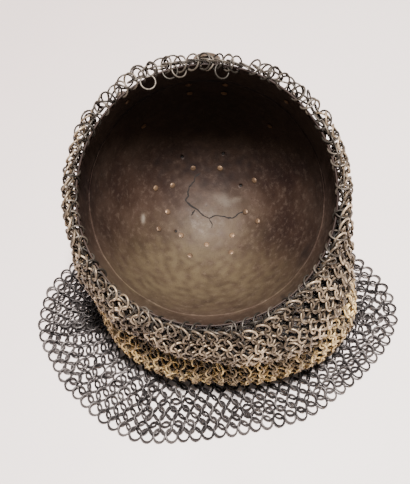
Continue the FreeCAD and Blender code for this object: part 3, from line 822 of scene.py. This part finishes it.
def drapeCorners(azimuth):  # reach from the rim and height of the upper fold's corners, then the lower one's
    edge = rimEdge(azimuth)
    top = onRail(topRail, azimuth) + drape["top"]
    over = drape["over"] if top < drape["overWithin"] else 0.0
    crevice = onRail(creviceRail, azimuth) - drape["wire"]
    band = onRail(bandRail, azimuth) - drape["wire"]
    fold = drape["wave"] * math.sin(math.radians(azimuth) * drape["waves"])
    share = max(0.0, math.cos(math.radians(azimuth - 270)))
    fore = (top + drape["wire"] + crevice) / 2
    inmost = crevice - drape["tuck"] * share
    drop = edge.z - seenAt["creviceDrop"]
    upper = [
        (top, edge.z + over), (max(top + 2, 5 + 4 * share), edge.z - 7),
        (fore + drape["bulge"] * share + fold, edge.z - 26), (crevice + drape["bulge"] / 2 * share, edge.z - 42),
        (inmost, drop - 1),
    ]
    lower = [
        (inmost, drop - 2), (band - 2 + fold, 0.68 * drop), (band, 0.34 * drop + 2),
        (max(5, band - drape["heel"]), mail["rest"] + drape["foot"]),
    ]
    return upper, lower


def fanEdge(azimuth):
    edge = rimEdge(azimuth)
    spot = edge + ray(azimuth) * (onRail(fanRail, azimuth) - mail["fanInset"])
    return Vector((spot.x, spot.y, mail["rest"]))


def alongLine(line, share):
    lengths = [0.0]
    for first, last in zip(line, line[1:]):
        lengths.append(lengths[-1] + math.dist(first, last))
    wanted = lengths[-1] * share
    for k in range(len(line) - 1):
        if lengths[k + 1] >= wanted or k == len(line) - 2:
            part = (wanted - lengths[k]) / max(1e-6, lengths[k + 1] - lengths[k])
            return tuple(a + (b - a) * part for a, b in zip(line[k], line[k + 1]))


def hungSpot(azimuth, section, share):
    edge = rimEdge(azimuth)
    corners = drapeCorners(azimuth)[section]
    reach, level = alongLine(smoothLine(corners), share)
    flat = Vector((edge.x, edge.y, 0)) + ray(azimuth) * reach
    return Vector((flat.x, flat.y, level))


def evenRow(curve, earlier, low, high):  # rings a pitch apart, each between two of the row before
    steps = mail["samples"]
    samples = [curve(low + (high - low) * k / steps) for k in range(steps + 1)]
    lengths = np.concatenate(([0], np.cumsum([(b - a).length for a, b in zip(samples, samples[1:])])))
    count = max(2, round(lengths[-1] / mail["pitch"]))
    if not earlier:
        spots = [(k + 0.5) / count for k in range(count)]
    else:
        spots = [(a + b) / 2 for a, b in zip(earlier, earlier[1:])]
        spots = [spots[0] - (spots[1] - spots[0])] + spots + [spots[-1] + (spots[-1] - spots[-2])]
        spots = [spot for spot in spots if -0.25 / count < spot < 1 + 0.25 / count]
        while len(spots) < count - 1:
            k = dice.randrange(3, len(spots) - 3)
            spots.insert(k, (spots[k - 1] + spots[k]) / 2)
        while len(spots) > count + 1:
            spots.pop(dice.randrange(3, len(spots) - 3))
        for _ in range(5):
            evened = [0.5 * b + 0.25 * (a + c) for a, b, c in zip(spots, spots[1:], spots[2:])]
            spots = [spots[0]] + evened + [spots[-1]]
    azimuths = np.interp([spot * lengths[-1] for spot in spots], lengths, np.linspace(low, high, steps + 1))
    return spots, list(azimuths)


def placeRing(spotAt, azimuth, share, sign, spread):  # a ring turned out of the mail's face, each row the other way
    spot = spotAt(azimuth, share)
    along = (spotAt(azimuth + 0.7, share) - spotAt(azimuth - 0.7, share)).normalized()
    down = (spotAt(azimuth, share + 0.02) - spotAt(azimuth, share - 0.02)).normalized()
    square = down.cross(along).normalized()
    angle = math.radians(mail["turn"]) * sign
    across = along * math.cos(angle) + square * math.sin(angle)
    shake = Vector((dice.gauss(0, 1), dice.gauss(0, 1), dice.gauss(0, 1))) * (spread * 2.5)
    return spot + shake, spun(turned(across, down), spread), 1.0


def hungRows(section, rows, spread, keep, inset=0.0):
    rings, earlier = [], None

    def spotAt(azimuth, share):
        spot = hungSpot(azimuth, section, share)
        return spot - ray(azimuth) * inset

    low, high = 270 - mail["halfSpan"], 270 + mail["halfSpan"]
    for row in range(rows):
        share = (row + 0.5) / rows
        earlier, azimuths = evenRow(lambda a: spotAt(a, share), earlier, low, high)
        for azimuth in azimuths:
            if keep(azimuth, share):
                rings.append(placeRing(spotAt, azimuth, share, (-1) ** row, spread))
    return rings


bandEnd = {"span": 95, "rise": 70}  # towards its ends the lower fold stops higher over the table


def bandKept(azimuth, share):
    past = max(0, abs(azimuth - 270) - bandEnd["span"]) / (mail["halfSpan"] - bandEnd["span"])
    return hungSpot(azimuth, 1, share).z > mail["rest"] + bandEnd["rise"] * past - 2


def fanSpot(azimuth, share):  # share counts steps inwards from the edge
    edge = fanEdge(azimuth)
    side = (fanEdge(azimuth + 1) - fanEdge(azimuth - 1)).normalized()
    inward = Vector((-side.y, side.x, 0))
    return edge + inward * (share * mail["fanStep"])


def fromRim(spot):  # level distance from the rim's middle
    return Vector((spot.x - rimCentre.x, spot.y - rimCentre.y)).length


def fanRows():
    rings, earlier = [], None
    low, high = 270 - mail["fanSpan"], 270 + mail["fanSpan"]
    for row in range(mail["fanRows"]):
        earlier, azimuths = evenRow(lambda a: fanSpot(a, row), earlier, low, high)
        for azimuth in azimuths:
            spot, turn, size = placeRing(fanSpot, azimuth, row, (-1) ** row, mail["fanShake"])
            spot.z = mail["rest"] + dice.uniform(-0.2, 0.5)
            foot = rimEdge(azimuth) + ray(azimuth) * (onRail(bandRail, azimuth) - mail["fanTuck"])
            if fromRim(spot) > fromRim(foot):
                rings.append((spot, turn, size, azimuth))
    return rings


# Where a second layer of mail hangs behind the first, where the two folds part, and the shares kept there
layers = {"lined": (202, 358), "parted": (216, 322), "upperUntil": 0.82, "lowerFrom": 0.16, "liningFrom": 0.12}


def within(name, azimuth):
    low, high = layers[name]
    return low < azimuth < high


def upperKept(azimuth, share):
    return share < layers["upperUntil"] or not within("parted", azimuth)


def lowerKept(azimuth, share):
    return bandKept(azimuth, share) and (share > layers["lowerFrom"] or not within("parted", azimuth))


def upperLined(azimuth, share):
    return within("lined", azimuth) and share > layers["liningFrom"]


def lowerLined(azimuth, share):
    return within("lined", azimuth) and bandKept(azimuth, share)


mailShape = ringShape("mail_ring", mail["ring"], mail["wire"])
fanShape = ringShape("fan_ring", mail["ring"], mail["fanWire"])
upperRings = hungRows(0, mail["upperRows"], mail["upperShake"], upperKept)
bandRings = hungRows(1, mail["bandRows"], mail["bandShake"], lowerKept)
upperLining = hungRows(0, mail["upperRows"] - 1, mail["liningShake"], upperLined, mail["lining"])
bandLining = hungRows(1, mail["bandRows"] - 1, mail["liningShake"], lowerLined, mail["lining"])
scatterRings("upper_mail_rings", upperRings, mailShape, "steelMail", 5, ("upper_mail",))
scatterRings("brass_mail_rings", bandRings, mailShape, "brassMail", 6, ("brass_mail_band",))
# the linings' near-black wire is painted shade, showing in the crevice where the folds part
scatterRings("upper_mail_lining", upperLining, mailShape, "shadedLiningMail", 11)
scatterRings("brass_mail_lining", bandLining, mailShape, "shadedLiningMail", 12)
fanRings = fanRows()
third = 2 * mail["fanSpan"] / 3
for k, side in enumerate(("left", "front", "right")):
    low = 270 - mail["fanSpan"] + third * k
    high = low + third
    low, high = (0 if k == 0 else low), (999 if k == 2 else high)  # the end sectors take all that is left
    chosen = [(spot, turn, size) for spot, turn, size, azimuth in fanRings if low <= azimuth < high]
    skirt = "mail_skirt_" + side
    scatterRings("fan_rings_" + side, chosen, fanShape, "darkMail", 7 + k, (skirt,))
print("mail made", len(upperRings), len(bandRings), len(fanRings))


# CAD nodes that stay, with their finishes
finishes = {
    "fitting": (
        "crown_plate", "spike_base", "spike", "plume_holder_left", "plume_holder_right", "nasal_bracket",
        "nasal_bar",
    ),
    "rivet": ("crown_inner_rivets", "crown_outer_rivets", "plume_rivets", "nasal_bracket_rivets", "nasal_screw"),
}
for name, nodes in finishes.items():
    for node in nodes:
        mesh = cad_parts[node].data
        mesh.materials.clear()
        mesh.materials.append(materials[name])


# Table and studio light, in metres apart from the table's size
tableSize = 4000
studio = {
    "lampSpot": (0.02, 0.03, 1.7), "lampAim": (0, 0, 0.05), "lampSize": 0.27, "lampPower": 108,
    "lampColour": (1, 0.97, 0.94), "skyColour": (1, 0.97, 0.96, 1),
    "sky": {"From Min": -0.45, "From Max": 0.7, "To Min": 0.06, "To Max": 0.95},
}


def addTable():
    size = tableSize
    corners = [(-size, -size, 0), (size, -size, 0), (size, size, 0), (-size, size, 0)]
    table = bpy.data.objects.new("table", newMesh("table", corners, [[0, 1, 2, 3]], False))
    bpy.context.scene.collection.objects.link(table)
    s = Shader("white table")
    place = s.node("ShaderNodeSeparateXYZ", Vector=s.coords())
    slope = s.sums("SUBTRACT", place.outputs["X"], place.outputs["Y"])
    # painted light falloff: the white table's colour runs darker towards the left and back and lighter towards the
    # right and front
    paintedFalloff = s.mix(s.span(slope, 0, 1, -0.55, 0.55), (0.70, 0.585, 0.562), (0.99, 0.900, 0.862))
    cloud = s.span(s.noise(5, 3), 0.42, 0.58, 0.3, 0.7)
    table.data.materials.append(s.finish(Base_Color=paintedFalloff, Roughness=cloud))


def addLamp():
    data = bpy.data.lights.new("overhead", "AREA")
    data.shape, data.size, data.energy = "DISK", studio["lampSize"], studio["lampPower"]
    data.color = studio["lampColour"]
    lamp = bpy.data.objects.new("overhead", data)
    lamp.location = studio["lampSpot"]
    way = Vector(studio["lampAim"]) - Vector(studio["lampSpot"])
    lamp.rotation_euler = way.to_track_quat("-Z", "Y").to_euler()
    bpy.context.scene.collection.objects.link(lamp)


def addSky():  # brighter behind the helmet than on the viewer's side
    world = bpy.data.worlds.new("studio")
    world.use_nodes = True
    nodes, joins = world.node_tree.nodes, world.node_tree.links
    way, parts = nodes.new("ShaderNodeTexCoord"), nodes.new("ShaderNodeSeparateXYZ")
    span = nodes.new("ShaderNodeMapRange")
    for place, value in studio["sky"].items():
        span.inputs[place].default_value = value
    joins.new(way.outputs["Generated"], parts.inputs[0])
    joins.new(parts.outputs["Y"], span.inputs["Value"])
    joins.new(span.outputs["Result"], nodes["Background"].inputs["Strength"])
    nodes["Background"].inputs["Color"].default_value = studio["skyColour"]
    bpy.context.scene.world = world


addTable()
addLamp()
addSky()
print("table and light made")
